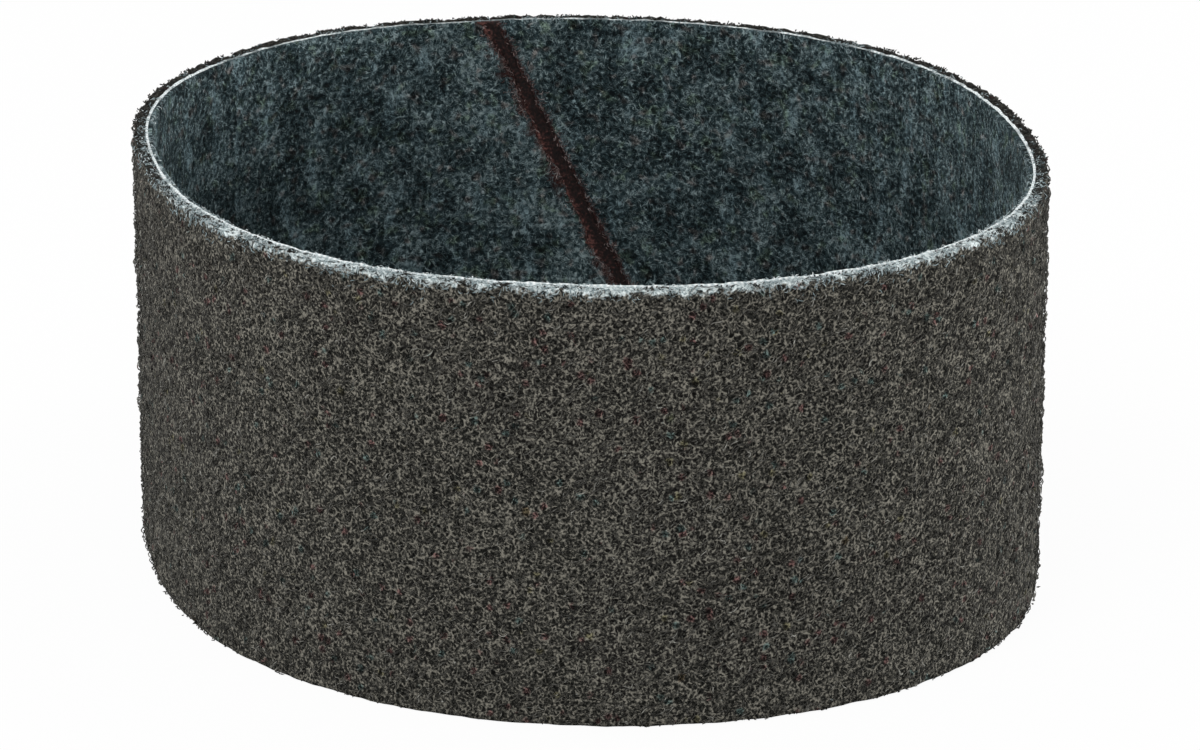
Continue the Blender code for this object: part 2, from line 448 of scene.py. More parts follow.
def strand_net(tree, coordinates):
    """The brightest of nine sets of curling lines: the edges of bent Voronoi cells, which
    close round each pore, and eight sets where a noise is close to 0.5."""
    bent = warped(tree, coordinates, 1.1 * MM, 1.3 * MM)
    cells = node(
        tree, "TexVoronoi", {"Vector": bent, "Scale": 1 / CELL_PITCH}, feature="DISTANCE_TO_EDGE"
    )
    net = node(
        tree, "MapRange", {0: cells.outputs["Distance"], 1: 0.03, 2: 0.16, 3: 1.0, 4: 0.0}, **SOFT
    ).outputs[0]
    for pitch, lights in zip(STRAND_PITCHES, STRAND_LIGHTS, strict=True):
        noise = node(tree, "TexNoise", {"Vector": coordinates, "Scale": 1 / pitch, "Detail": 0.5})
        channels = node(tree, "SeparateColor", {"Color": noise.outputs["Color"]})
        for channel, light in zip(channels.outputs, lights):
            line = contour(tree, channel, 0.01, 0.075, light)
            net = node(tree, "Math", {0: net, 1: line}, operation="MAXIMUM").outputs[0]
    return net


GRIT = 0.45 * MM
CUT_PAINTED_SHADE = 0.55


def web_material():
    """Resin coated nylon web: strands over dark pores, which are painted shade, uneven with grit.
    It has painted shade on the cut, where the pores are open, has tufts of pale fibre by the
    attribute pale at the top edge, and is red-brown where adhesive soaked the splice."""
    material, tree, shader = new_material("resin coated nylon web", 1.0, specular=0.08)
    place_on = node(tree, "TexCoord").outputs["Object"]
    net = strand_net(tree, place_on)
    grit = node(tree, "TexNoise", {"Vector": place_on, "Scale": 1 / GRIT, "Detail": 2.0})
    strength = node(
        tree, "MapRange", {0: grit.outputs[0], 1: 0.32, 2: 0.62, 3: 0.25, 4: 1.0}, **SOFT
    ).outputs[0]
    shade = node(tree, "Math", {0: net, 1: strength}, operation="MULTIPLY").outputs[0]
    # Painted shade: the colour on the cut is darkened by the attribute cut, for its open pores.
    cut = node(tree, "Attribute", attribute_name="cut").outputs["Fac"]
    painted_cut_shade = node(tree, "MapRange", {0: cut, 1: 0.0, 2: 1.0, 3: 1.0, 4: CUT_PAINTED_SHADE}, **SOFT)
    shade = node(tree, "Math", {0: shade, 1: painted_cut_shade.outputs[0]}, operation="MULTIPLY").outputs[0]
    # The ramp's near-black low end is painted shade in the pores, and the dimmer net lines are
    # painted shade on deeper strands.
    colour = node(
        tree, "ValToRGB", {"Fac": shade},
        stops=((0.0, "#050504"), (0.25, "#181816"), (0.6, "#43423d"), (1.0, "#757269")),
    ).outputs[0]
    colour = flecked(tree, place_on, colour)
    pale = node(tree, "Attribute", attribute_name="pale").outputs["Fac"]
    frayed = node(tree, "TexNoise", {"Vector": place_on, "Scale": 1 / (0.7 * MM), "Detail": 3.0})
    patchy = node(tree, "Math", {0: frayed.outputs[0], 1: 1.6, 2: pale}, operation="MULTIPLY_ADD")
    covered = node(
        tree, "MapRange", {0: patchy.outputs[0], 1: 1.10, 2: 1.60, 3: 0.0, 4: 1.0}, **SOFT
    ).outputs[0]
    tuft = node(tree, "Math", {0: net, 1: 0.5, 2: grit.outputs[0]}, operation="MULTIPLY_ADD")
    tufts = node(
        tree, "ValToRGB", {"Fac": tuft.outputs[0]},
        stops=((0.35, "#465254"), (0.62, "#8b999b"), (1.0, "#dde6e6")),
    ).outputs[0]
    colour = node(
        tree, "Mix", {"Factor": covered, 6: colour, 7: tufts}, data_type="RGBA"
    ).outputs[2]
    glued = node(tree, "Attribute", attribute_name="glued").outputs["Fac"]
    colour = node(
        tree, "Mix", {"Factor": glued, 6: colour, 7: linear("#2a1716")}, data_type="RGBA"
    ).outputs[2]
    tree.links.new(colour, shader.inputs["Base Color"])
    bump = node(tree, "Bump", {"Height": shade, "Strength": 0.7, "Distance": 0.25 * MM})
    tree.links.new(bump.outputs[0], shader.inputs["Normal"])
    return material


# %% [markdown]
# ### Single fibres
# A fibre's colour comes from its own tone, so that neighbours differ, and from a fine grain
# along it: the coated nylon carries abrasive grit, which sparkles a little and breaks up its
# outline.

# %% The materials of single fibres
FIBRE_GRAIN = 0.22


def fibre_material(name, colours, grain_size, flecks=False):
    """A single fibre, from dark to light by its tone, with grain along it."""
    material, tree, shader = new_material(name, 0.9, specular=0.15)
    place_on = node(tree, "TexCoord").outputs["Object"]
    tone = node(tree, "Attribute", attribute_name="tone").outputs["Fac"]
    grain = node(tree, "TexNoise", {"Vector": place_on, "Scale": 1 / grain_size, "Detail": 1.0})
    uneven = node(
        tree, "MapRange",
        {0: grain.outputs[0], 1: 0.25, 2: 0.75, 3: -FIBRE_GRAIN, 4: FIBRE_GRAIN}, **SOFT,
    )
    shade = node(tree, "Math", {0: tone, 1: uneven.outputs[0]})
    stops = tuple(zip((0.0, 0.55, 1.0), colours, strict=True))
    colour = node(tree, "ValToRGB", {"Fac": shade.outputs[0]}, stops=stops).outputs[0]
    if flecks:
        colour = flecked(tree, place_on, colour)
    tree.links.new(colour, shader.inputs["Base Color"])
    return material


nylon_net = web_material()
nylon_fibre = fibre_material(
    "resin coated nylon fibre", ("#1d1d1b", "#4b4a46", "#919089"), GRIT, flecks=True
)
pale_fibre = fibre_material("frayed polyester fibre", ("#76868a", "#aebbbe", "#e8efef"), 0.9 * MM)
felt_fibre = fibre_material("needled felt fibre", ("#263437", "#4c5d60", "#98a6a5"), 0.9 * MM)


# %% [markdown]
# ### The cloth, the felt and the adhesive
# The cloth is plain-woven polyester, and only its cut edge shows, as a bright line. The felt is
# needled: short curved fibres in all directions over a darker ground, with paler patches where
# the needles pulled fibres up. A contour line of noise that is stretched to a fibre's length
# looks like such a fibre. Sets of them laid in six directions, with the brightest kept, look
# like felt. The adhesive soaked into the felt before it cured, so it is a dark, slightly glossy
# red-brown with a grain of fibres, and it stains the felt beside it.

# %% Woven cloth
YARN = 0.55 * MM


def cloth_material():
    """Plain-woven polyester: two crossing waves, one thread up where the other is down. It is
    grey where its edge isn't bared."""
    material, tree, shader = new_material("woven polyester scrim", 0.7)
    strip = node(tree, "UVMap", uv_map="strip").outputs[0]
    waves = [
        node(tree, "TexWave", {"Vector": strip, "Scale": 1 / (YARN * 2 * math.pi)},
             bands_direction=direction).outputs["Fac"]
        for direction in ("X", "Y")
    ]
    threads = node(tree, "Math", {0: waves[0], 1: waves[1]}, operation="MAXIMUM").outputs[0]
    colour = node(tree, "ValToRGB", {"Fac": threads}, stops=((0.0, "#b4c1c4"), (1.0, "#f0f4f4")))
    bared = node(tree, "Attribute", attribute_name="bared").outputs["Fac"]
    colour = node(
        tree, "Mix", {"Factor": bared, 6: linear("#4a5456"), 7: colour.outputs[0]}, data_type="RGBA"
    )
    tree.links.new(colour.outputs[2], shader.inputs["Base Color"])
    bump = node(tree, "Bump", {"Height": threads, "Strength": 0.6, "Distance": 0.1 * MM})
    tree.links.new(bump.outputs[0], shader.inputs["Normal"])
    return material


# %% Needled felt
HAIR_LENGTH = 2.2 * MM
HAIR_PITCH = 0.44 * MM
HAIR_TURNS = (0.0, 0.5, 1.05, 1.55, 2.1, 2.65)


def felt_hairs(tree, strip):
    """The brightest of six sets of thin hairs. A set is the contour of a noise that is turned
    and stretched to a hair's length, and the noise's second channel fades each hair out."""
    curled = warped(tree, strip, 1.5 * MM, 1.4 * MM)
    hairs = None
    for turn in HAIR_TURNS:
        laid = node(
            tree, "Mapping",
            {"Vector": curled, "Rotation": (0, 0, turn), "Location": (turn, 2 * turn, 0),
             "Scale": (HAIR_LENGTH, HAIR_PITCH, 1.0)},
            vector_type="TEXTURE",
        )
        noise = node(tree, "TexNoise", {"Vector": laid.outputs[0], "Scale": 1.0, "Detail": 0.0})
        channels = node(tree, "SeparateColor", {"Color": noise.outputs["Color"]})
        line = contour(tree, channels.outputs[0], 0.005, 0.045, 1.0)
        fade = node(
            tree, "MapRange", {0: channels.outputs[1], 1: 0.40, 2: 0.72, 3: 0.0, 4: 1.0}, **SOFT
        ).outputs[0]
        hair = node(tree, "Math", {0: line, 1: fade}, operation="MULTIPLY").outputs[0]
        if hairs is None:
            hairs = hair
        else:
            hairs = node(tree, "Math", {0: hairs, 1: hair}, operation="MAXIMUM").outputs[0]
    return hairs


def run_from_splice(tree, strip):
    """How far along the belt a point lies from the splice at its own height."""
    measures = node(tree, "SeparateXYZ", {0: strip})
    run = node(
        tree, "Math", {0: measures.outputs["Y"], 1: -SPLICE_SLOPE, 2: measures.outputs["X"]},
        operation="MULTIPLY_ADD",
    )
    return node(
        tree, "Math", {0: run.outputs[0], 1: SPLICE_FOOT}, operation="SUBTRACT"
    ).outputs[0]


STAIN_LEAST = 2.6 * MM
STAIN_MOST = 5.4 * MM
STAIN_RIGHT = 2.2 * MM


def beside_splice(tree, strip, run):
    """How much adhesive stains the felt. On the side where the bead has its lobes the stain
    reaches between its least and its most, by a slow noise, and fades over the outer half of
    that. The other side's stain is short and fades over its outer half too."""
    lobe = node(tree, "TexNoise", {"Vector": strip, "Scale": 1 / (4.5 * MM), "Detail": 1.0})
    reach = node(
        tree, "MapRange", {0: lobe.outputs[0], 1: 0.42, 2: 0.60, 3: STAIN_LEAST, 4: STAIN_MOST},
        **SOFT,
    ).outputs[0]
    near = node(tree, "Math", {0: run, 1: reach}, operation="DIVIDE").outputs[0]
    left = node(tree, "MapRange", {0: near, 1: 0.5, 2: 1.0, 3: 1.0, 4: 0.0}, **SOFT).outputs[0]
    before_end = node(tree, "Math", {0: BELT_LENGTH, 1: run}, operation="SUBTRACT").outputs[0]
    right = node(
        tree, "MapRange", {0: before_end, 1: STAIN_RIGHT / 2, 2: STAIN_RIGHT, 3: 1.0, 4: 0.0},
        **SOFT,
    ).outputs[0]
    return node(tree, "Math", {0: left, 1: right}, operation="MAXIMUM").outputs[0]


BRUSHED_REACH = 28 * MM


def felt_material():
    """Needled felt: hairs in six directions over a dark ground with pits, in soft patches, some
    browner or greener, with paler and bluer bands up the belt. Left of the splice it is brushed
    up and paler, and beside the bead it has a red-brown stain."""
    material, tree, shader = new_material("needled blue grey felt", 1.0, specular=0.08)
    strip = node(tree, "UVMap", uv_map="strip").outputs[0]
    hairs = felt_hairs(tree, strip)
    pits = node(tree, "TexNoise", {"Vector": strip, "Scale": 1 / (1.0 * MM), "Detail": 4.0})
    patches = node(tree, "TexNoise", {"Vector": strip, "Scale": 1 / (6.5 * MM), "Detail": 3.0})
    upright = node(
        tree, "Mapping", {"Vector": strip, "Scale": (4 * MM, 11 * MM, 1.0)}, vector_type="TEXTURE"
    )
    bands = node(tree, "TexNoise", {"Vector": upright.outputs[0], "Scale": 1.0, "Detail": 2.0})
    run = run_from_splice(tree, strip)
    ground, cloud, band, brushed = [
        node(
            tree, "MapRange", {0: value, 1: low, 2: high, 3: to_low, 4: to_high}, **SOFT
        ).outputs[0]
        for value, low, high, to_low, to_high in (
            (pits.outputs[0], 0.32, 0.68, 0.0, 0.52),
            (patches.outputs[0], 0.30, 0.70, -0.18, 0.18),
            (bands.outputs[0], 0.50, 0.70, 0.0, 1.0),
            (run, 0.0, BRUSHED_REACH, 0.16, 0.0),
        )
    ]
    shade = node(tree, "Math", {0: hairs, 1: 0.66, 2: ground}, operation="MULTIPLY_ADD")
    shade = node(tree, "Math", {0: shade.outputs[0], 1: cloud}).outputs[0]
    shade = node(tree, "Math", {0: band, 1: 0.20, 2: shade}, operation="MULTIPLY_ADD").outputs[0]
    shade = node(tree, "Math", {0: shade, 1: brushed}).outputs[0]
    colour = node(
        tree, "ValToRGB", {"Fac": shade},
        stops=((0.0, "#0a1012"), (0.3, "#1e2a2d"), (0.6, "#3a4a4e"), (1.0, "#879799")),
    ).outputs[0]
    tints = node(tree, "TexNoise", {"Vector": strip, "Scale": 1 / (2.5 * MM), "Detail": 1.0})
    channels = node(tree, "SeparateColor", {"Color": tints.outputs["Color"]})
    shares = [
        node(tree, "MapRange", {0: channel, 1: 0.56, 2: 0.74, 3: 0.0, 4: 0.45}, **SOFT).outputs[0]
        for channel in channels.outputs[:2]
    ]
    shares.append(node(tree, "Math", {0: band, 1: 0.4}, operation="MULTIPLY").outputs[0])
    for share, tint in zip(shares, ("#4a3d38", "#3c4a38", "#42555c"), strict=True):
        colour = node(
            tree, "Mix", {"Factor": share, 6: colour, 7: linear(tint)},
            data_type="RGBA", blend_type="COLOR",
        ).outputs[2]
    soaked = node(tree, "MapRange", {0: hairs, 1: 0.0, 2: 1.0, 3: 0.95, 4: 0.5}, **SOFT).outputs[0]
    stained = node(
        tree, "Math", {0: beside_splice(tree, strip, run), 1: soaked}, operation="MULTIPLY"
    )
    colour = node(
        tree, "Mix", {"Factor": stained.outputs[0], 6: colour, 7: linear("#351d1b")},
        data_type="RGBA",
    ).outputs[2]
    tree.links.new(colour, shader.inputs["Base Color"])
    bump = node(tree, "Bump", {"Height": shade, "Strength": 0.7, "Distance": 0.3 * MM})
    tree.links.new(bump.outputs[0], shader.inputs["Normal"])
    return material


# %% Splice adhesive
def glue_material():
    """Cured adhesive in felt: dark red-brown, with a grain of fibres under its skin, and
    lighter and redder toward its thin edges."""
    material, tree, shader = new_material("cured red brown adhesive", 0.7, specular=0.15)
    place_on = node(tree, "TexCoord").outputs["Object"]
    grain = node(tree, "TexNoise", {"Vector": place_on, "Scale": 1 / (0.5 * MM), "Detail": 4.0})
    rim = node(tree, "Attribute", attribute_name="rim").outputs["Fac"]
    shade = node(tree, "Math", {0: rim, 1: 0.24, 2: grain.outputs[0]}, operation="MULTIPLY_ADD")
    colour = node(
        tree, "ValToRGB", {"Fac": shade.outputs[0]},
        stops=((0.35, "#070404"), (0.5, "#150c0b"), (0.64, "#271614"), (0.85, "#684540")),
    )
    tree.links.new(colour.outputs[0], shader.inputs["Base Color"])
    bump = node(tree, "Bump", {"Height": grain.outputs[0], "Strength": 0.9, "Distance": 0.3 * MM})
    tree.links.new(bump.outputs[0], shader.inputs["Normal"])
    return material


cloth = cloth_material()
felt = felt_material()
glue = glue_material()
stained_fibre = fibre_material(
    "adhesive stained fibre", ("#2e1917", "#66504c", "#b9adab"), 0.5 * MM
)


# %% [markdown]
# ## The layers
# A layer's grid has its columns along the belt, from splice to splice and leaning with it, and
# its rows round the section: up the outer face, over the top edge, down the inner face and back
# under the foot. The faces get as many rows as their relief needs, and the edges a few.

# %% Walk round a layer's section
def section(face_rows, edge_rows, back_rows):
    """The share of the width and the share of the thickness at each row: up the outer face,
    in across the top edge, down the inner face and out across the foot."""
    rise = np.linspace(0, 1, face_rows, endpoint=False)
    inward = np.linspace(1, 0, edge_rows, endpoint=False)
    fall = np.linspace(1, 0, back_rows, endpoint=False)
    width = np.concatenate([rise, np.ones(edge_rows), fall, np.zeros(edge_rows)])
    depth = np.concatenate([np.ones(face_rows), inward, np.zeros(back_rows), 1 - inward])
    return width, depth


def layer_grid(columns, face_rows, edge_rows, back_rows):
    """The measures along and up, and the share of the thickness, at each point of a layer."""
    width, depth = section(face_rows, edge_rows, back_rows)
    run = np.arange(columns)[:, None] * BELT_LENGTH / columns
    along = run + splice_at(width * BELT_WIDTH)[None, :]
    return along, height(along, width[None, :]), np.broadcast_to(depth, along.shape)


# %% The web
LAYER_GAP = 0.02 * MM
WEB_IN = SCRIM_OUT + LAYER_GAP
GROOVE_DEPTH = 0.5 * MM
PALE_DEPTH = 1.5 * MM
CUT_RISE = 0.14 * MM
CUT_LUMPS = 0.34 * MM


def pale_edge(along, up, out):
    """How pale the web is at its top edge, in patches and less downwards. At the front it is
    pale right across the cut, as in the photograph. Elsewhere it is so beside the cloth only,
    and weaker."""
    across = np.clip(1.2 - (out - WEB_IN) / (WEB_OUT - WEB_IN), 0, 1)
    across = across + (1 - across) * near_front(along)
    below = np.clip(1 - (BELT_WIDTH - up) / PALE_DEPTH, 0, 1)
    patches = 0.62 + 0.5 * lumps(along, up + out, 1.5 * MM, 41)
    return np.clip(across * below * patches * (0.20 + 0.80 * near_front(along)), 0, 1)


along, up, depth = layer_grid(620, 82, 7, 4)
at_splice = np.zeros(along.shape)
at_splice[0] = 1
outer_face = web_ground(along, up) - GROOVE_DEPTH * at_splice
out = WEB_IN + (outer_face - WEB_IN) * depth
near_top = up > BELT_WIDTH / 2
up = up + (CUT_LUMPS * lumps(along, out, 1.1 * MM, 42) + CUT_RISE) * near_top
web = add_piece(
    "web_body", "abrasive_web", place(along, up, out), tube_faces(*along.shape), nylon_net,
    strip=np.stack([along, up], axis=-1), replaces="abrasive_web",
    pale=pale_edge(along, up, out), glued=0.8 * at_splice, cut=near_top * (depth < 0.99),
)

# %% The cloth, whose yarn ends stand up and are bared most at the front
along, up, depth = layer_grid(720, 5, 2, 5)
yarn_ends = 0.12 + 0.26 * np.clip(1.5 * facing_front(along), 0, 1)
yarn_ends = yarn_ends + 0.12 * ripples(along, 1.3 * MM, 51)
bared = 0.48 + 1.4 * facing_front(along) + 0.8 * ripples(along, 2.2 * MM, 52)
out = SCRIM_IN + (SCRIM_OUT - SCRIM_IN) * depth
scrim = add_piece(
    "scrim_cloth", "woven_scrim", place(along, up + yarn_ends * MM * (up > BELT_WIDTH / 2), out),
    tube_faces(*along.shape), cloth, strip=np.stack([along, up], axis=-1),
    replaces="woven_scrim", bared=np.clip(bared, 0.15, 1),
)

# %% The felt
FELT_OUT = SCRIM_IN - LAYER_GAP
along, up, depth = layer_grid(560, 4, 3, 36)
fluff = 0.10 * lumps(along, up, 3 * MM, 61) + 0.06 * lumps(along, up, 1.4 * MM, 62)
out = FELT_IN + (FELT_OUT - FELT_IN) * depth + fluff * MM * (1 - depth)
backing = add_piece(
    "felt_body", "felt_backing", place(along, up, out), tube_faces(*along.shape), felt,
    strip=np.stack([along, up], axis=-1), replaces="felt_backing",
)

# %% [markdown]
# ## The fibres
# A crimped fibre is a walk over the surface whose heading swings to and fro, with a little
# drift added at each step. Both its ends dive into the layer, so what shows is a short arc. All
# the steps are worked out together: one row of an array is one fibre.
#
# On the real web the strands bunch round its pores. So a field of lumps says where the pores
# are: a fibre that crosses one sinks there, and between pores it rises. Its tone is painted
# shade, darker where it sinks into a pore and where the fibre lies lower, lighter between pores.

# %% Walk many fibres over a surface
def walk(rng, count, steps, step, swing, wave, drift):
    """Steps over a flat surface. The heading is a random one plus swing x sin(2 pi s / wave)
    plus the sum of random drifts. Gives how far each fibre has gone in both directions, and
    where each step lies on it, from -1 to 1."""
    heading = rng.uniform(0, 2 * math.pi, (count, 1))
    travel = np.arange(steps)[None, :] * step
    phase = rng.uniform(0, 2 * math.pi, (count, 1))
    bend = swing * np.sin(2 * math.pi * travel / wave + phase)
    bend = bend + np.cumsum(rng.normal(0, drift, (count, steps)), axis=1)
    ahead = np.cumsum(step * np.cos(heading + bend), axis=1)
    aside = np.cumsum(step * np.sin(heading + bend), axis=1)
    return ahead, aside, np.linspace(-1, 1, steps)[None, :]


def fold_back(value, low, high):
    """Values that pass a limit are folded back inside."""
    return high - np.abs(high - (low + np.abs(value - low)))


# %% The web's top fibres
def between_pores(along, up):
    """From about -1 in the middle of a pore to 1 on the strands round it: lumps of 1.2 and
    0.75 mm."""
    return 0.7 * lumps(along, up, 1.2 * MM, 91) + 0.5 * lumps(along, up, 0.75 * MM, 92)


WEB_FIBRES = 6600
OFF_SPLICE = 0.4 * MM
OFF_FLOOR = 0.3 * MM
OVER_TOP = 0.15 * MM
for number in range(3):
    rng = np.random.default_rng(100 + number)
    ahead, rise, share = walk(
        rng, WEB_FIBRES, steps=5, step=0.50 * MM, swing=0.9, wave=3.0 * MM, drift=0.45
    )
    run = rng.uniform(0, BELT_LENGTH, (WEB_FIBRES, 1)) + ahead
    run = fold_back(run, OFF_SPLICE, BELT_LENGTH - OFF_SPLICE)
    up = rng.uniform(0, BELT_WIDTH, (WEB_FIBRES, 1)) + rise
    up = fold_back(up, OFF_FLOOR, BELT_WIDTH + OVER_TOP)
    along = run + splice_at(up)
    level = rng.uniform(0, 1, (WEB_FIBRES, 1))
    strands = between_pores(along, up)
    lift = 0.17 + 0.38 * level - 0.30 * share**2 + 0.28 * strands
    # Painted shade in the tone: lower fibres, by level, and stretches in pores, by strands, are
    # darker; the gamma term is each fibre's own tone.
    add_fibres(
        f"web_fibres_{number + 1}", "abrasive_web", along, up, web_ground(along, up) + lift * MM,
        rng.uniform(0.18, 0.29, WEB_FIBRES) * MM, nylon_fibre,
        0.06 + 0.20 * level + 0.50 * strands + rng.gamma(2.0, 0.07, (WEB_FIBRES, 1)),
    )

# %% The felt's loose fibres
FELT_FIBRES = 5200
rng = np.random.default_rng(200)
ahead, rise, share = walk(
    rng, FELT_FIBRES, steps=4, step=0.45 * MM, swing=0.5, wave=2.4 * MM, drift=0.3
)
run = fold_back(rng.uniform(0, BELT_LENGTH, (FELT_FIBRES, 1)) + ahead, 0, BELT_LENGTH)
up = fold_back(rng.uniform(0, BELT_WIDTH, (FELT_FIBRES, 1)) + rise, OFF_FLOOR, BELT_WIDTH)
lift = 0.08 + 0.08 * rng.random((FELT_FIBRES, 1)) - 0.16 * share**4
add_fibres(
    "felt_fibres", "felt_backing", run + splice_at(up), up, FELT_IN - lift * MM,
    rng.uniform(0.08, 0.12, FELT_FIBRES) * MM, felt_fibre, rng.normal(0.40, 0.25, FELT_FIBRES),
)

# %% [markdown]
# ## The cut edges
# The slitter leaves ends of fibre standing out of both cuts. At the top they are easy to see:
# pale, curly ends of the cloth's yarn and of felt lie over the cut, thickest and lightest at the
# front, and hang a little way down both faces. Dark nylon ends stick out of the web in tufts,
# fewer at the front, where the pale ones cover it.
#
# These fibres walk over the rim as over a flat strip. One number says how far a point is from
# the cloth across the rim. It turns into a place by a profile with two corners: down the inner
# face, across the cut, and down the outer face.

# %% Walk over the rim
CUT_IN = FELT_IN - SCRIM_OUT
CUT_OUT = WEB_OUT - SCRIM_OUT - 0.15 * MM
CORNER = 0.3 * MM
DROP = 6 * MM


def over_rim(along, across, lift):
    """The measures up and out of points that lie across the rim at a distance from the cloth,
    and that stand off the rim's profile by lift."""
    corners = [CUT_IN - DROP, CUT_IN, CUT_OUT, CUT_OUT + DROP]
    outs = [FELT_IN, FELT_IN, SCRIM_OUT + CUT_OUT, SCRIM_OUT + CUT_OUT]
    down = np.interp(across, corners, [-DROP, 0, 0, -DROP])
    edges = [CUT_IN - CORNER, CUT_IN, CUT_OUT, CUT_OUT + CORNER]
    on_cut = np.interp(across, edges, [0, 1, 1, 0])
    out = np.interp(across, corners, outs) + np.sign(across) * lift * (1 - on_cut)
    return height(along, 1.0) + down + lift * on_cut, out


# %% Pale fuzz
FUZZ = 4500
rng = np.random.default_rng(300)
start = rng.uniform(0, BELT_LENGTH, 10 * FUZZ)
clumps = 0.70 + 0.6 * ripples(start, 3 * MM, 81)
patches = 0.9 * np.clip(ripples(start, 5 * MM, 83) - 0.25, 0, 1)
chance = (0.06 + patches + 0.94 * near_front(start)) * clumps
start = start[rng.random(len(start)) < chance][:FUZZ]
facing = near_front(start)
reach = rng.gamma(2.2, 0.50, FUZZ) * (0.5 + 0.7 * facing)
outward = rng.random(FUZZ) < 0.5 + 0.28 * facing
reach = np.where(outward, reach, -rng.gamma(2.0, 0.5, FUZZ)) * MM
phase = rng.uniform(0, 2 * math.pi, (FUZZ, 1))
loft = rng.uniform(0.1, 0.50, (FUZZ, 1))
thickness = rng.uniform(0.10, 0.19, FUZZ) * MM
tone = rng.normal(0.36, 0.28, FUZZ) + 0.36 * facing - 0.24 * np.abs(reach) / MM
ahead, aside, share = walk(
    rng, FUZZ, steps=4, step=0.32 * MM, swing=0.9, wave=2.0 * MM, drift=0.45
)
lift = (loft * (0.6 + 0.5 * np.sin(2.2 * share + phase)) + 0.03) * MM
along = start[:, None] + ahead
up, out = over_rim(along, reach[:, None] + aside, lift)
add_fibres("rim_fuzz", "woven_scrim", along, up, out, thickness, pale_fibre, tone)


# %% Dark ends of nylon
TUFT_RISE = 0.18 * MM
LEAST_HEIGHT = 0.22 * MM


def cut_ends(name, rng, count, share_of_width, slants, lengths):
    """Short stiff ends that stand out of the web's cut in tufts: straight lines from a random
    place in the cut, turned any way round, slanting upwards by an angle between two limits.
    None goes under the floor."""
    reach = np.linspace(0, 1, 3)[None, :] * rng.uniform(*lengths, (count, 1)) * MM
    turn = rng.uniform(0, 2 * math.pi, (count, 1))
    slant = rng.uniform(*slants, (count, 1))
    start = rng.uniform(0, BELT_LENGTH, (6 * count, 1))
    chance = 0.35 + 0.8 * ripples(start, 1.4 * MM, 82)
    tufted = rng.random((6 * count, 1)) < chance * (1 - 0.7 * share_of_width * near_front(start))
    along = start[tufted][:count, None] + reach * np.cos(slant) * np.cos(turn)
    out = rng.uniform(WEB_IN + 0.2 * MM, WEB_OUT - 0.1 * MM, (count, 1))
    out = out + reach * np.cos(slant) * np.sin(turn)
    up = height(along, share_of_width) + reach * np.sin(slant) + TUFT_RISE * share_of_width
    add_fibres(
        name, "abrasive_web", along, np.maximum(up, LEAST_HEIGHT), out,
        rng.uniform(0.22, 0.40, count) * MM, nylon_fibre, rng.normal(0.10, 0.2, count),
    )


cut_ends("web_top_ends", np.random.default_rng(310), 2800, 1.0, (0.0, 1.0), (0.25, 0.60))
cut_ends("web_foot_ends", np.random.default_rng(320), 700, 0.0, (-0.15, 0.3), (0.4, 0.9))

# %% [markdown]
# ## The splice
# The two ends of the belt meet on the bias. Adhesive was pressed into the joint as a film, and
# came out on the inner face as a thin bead, with soft lobes along its left edge. The section is
# a ring of points: over the bead's crest from edge to edge, then out along the film and back.
# The bead's edges follow the solid's, with raggedness on top, and the left one has lobes added.

# %% The bead and its film
BEAD_ROWS = 300
BEAD_POINTS = 9
FILM_HALF = 0.15 * MM
BEAD_SEAT = FELT_IN + 0.05 * MM
LOBE_REACH = 1.5 * MM
SKIN_LUMPS = 0.12 * MM
BEAD_OVER_TOP = 0.10 * MM


def ragged(up, seed):
    """A ragged edge: nicks of 1.3 and 0.5 mm."""
    return (0.28 * ripples(up, 1.3 * MM, seed) + 0.26 * ripples(up, 0.5 * MM, seed + 1)) * MM


rise = np.linspace(0, 1, BEAD_ROWS)[:, None]
bead_height = rise * BELT_WIDTH
lobe = LOBE_REACH * np.clip(ripples(bead_height, 5 * MM, 76), 0, 1)
left = np.interp(bead_height, bead_rows, bead_left) + ragged(bead_height, 71) + lobe
right = np.interp(bead_height, bead_rows, bead_right) + 0.7 * ragged(bead_height, 73)
turn = np.linspace(0, math.pi, BEAD_POINTS)[None, :]
over = (left + right) / 2 - (left - right) / 2 * np.cos(turn)
film = np.array([FILM_HALF, FILM_HALF, -FILM_HALF, -FILM_HALF])
crest = BEAD_SEAT - (BEAD_SEAT - GLUE_CREST) * np.sin(turn) ** 1.1
skin = SKIN_LUMPS * lumps(bead_height, over, 0.7 * MM, 75) * np.sin(turn)
film_out = np.array([BEAD_SEAT + 0.05 * MM, GLUE_TIP, GLUE_TIP, BEAD_SEAT + 0.05 * MM])
out = np.concatenate([crest + skin, np.tile(film_out, (BEAD_ROWS, 1))], axis=1)
along = splice_at(bead_height) + np.concatenate([over, np.tile(film, (BEAD_ROWS, 1))], axis=1)
up = height(along, np.broadcast_to(rise, along.shape)) + BEAD_OVER_TOP * rise
index = np.arange(along.size).reshape(along.shape)
sleeve = np.stack(
    [index[:-1], index[1:], np.roll(index[1:], -1, 1), np.roll(index[:-1], -1, 1)], axis=-1
).reshape(-1, 4)
last = BEAD_POINTS - 1
foot = [(0, point, point + 1) for point in range(1, last + 1)]
foot += [(0, last + 1, last + 4), (last + 1, last + 2, last + 3), (last + 1, last + 3, last + 4)]
foot = np.array(foot)
head = foot[:, ::-1] + index[-1, 0]
faces = np.concatenate([sleeve[:, [0, 1, 2]], sleeve[:, [0, 2, 3]], foot, head])
THICK_HALF = 0.8 * MM
THIN_EDGE = 1.2 * MM
thin_edge = np.clip((np.abs(over) - THICK_HALF) / THIN_EDGE, 0, 1)
bead_rim = np.concatenate([thin_edge, np.zeros((BEAD_ROWS, 4))], axis=1)
add_piece(
    "splice_bead", "splice_adhesive", place(along, up, out), faces, glue,
    replaces="splice_adhesive", rim=bead_rim,
)

# %% [markdown]
# Felt fibres are caught in the adhesive along both edges of the bead. Those on the left, where
# the lobes are, stand up most, and are stained from whitish to dark red.

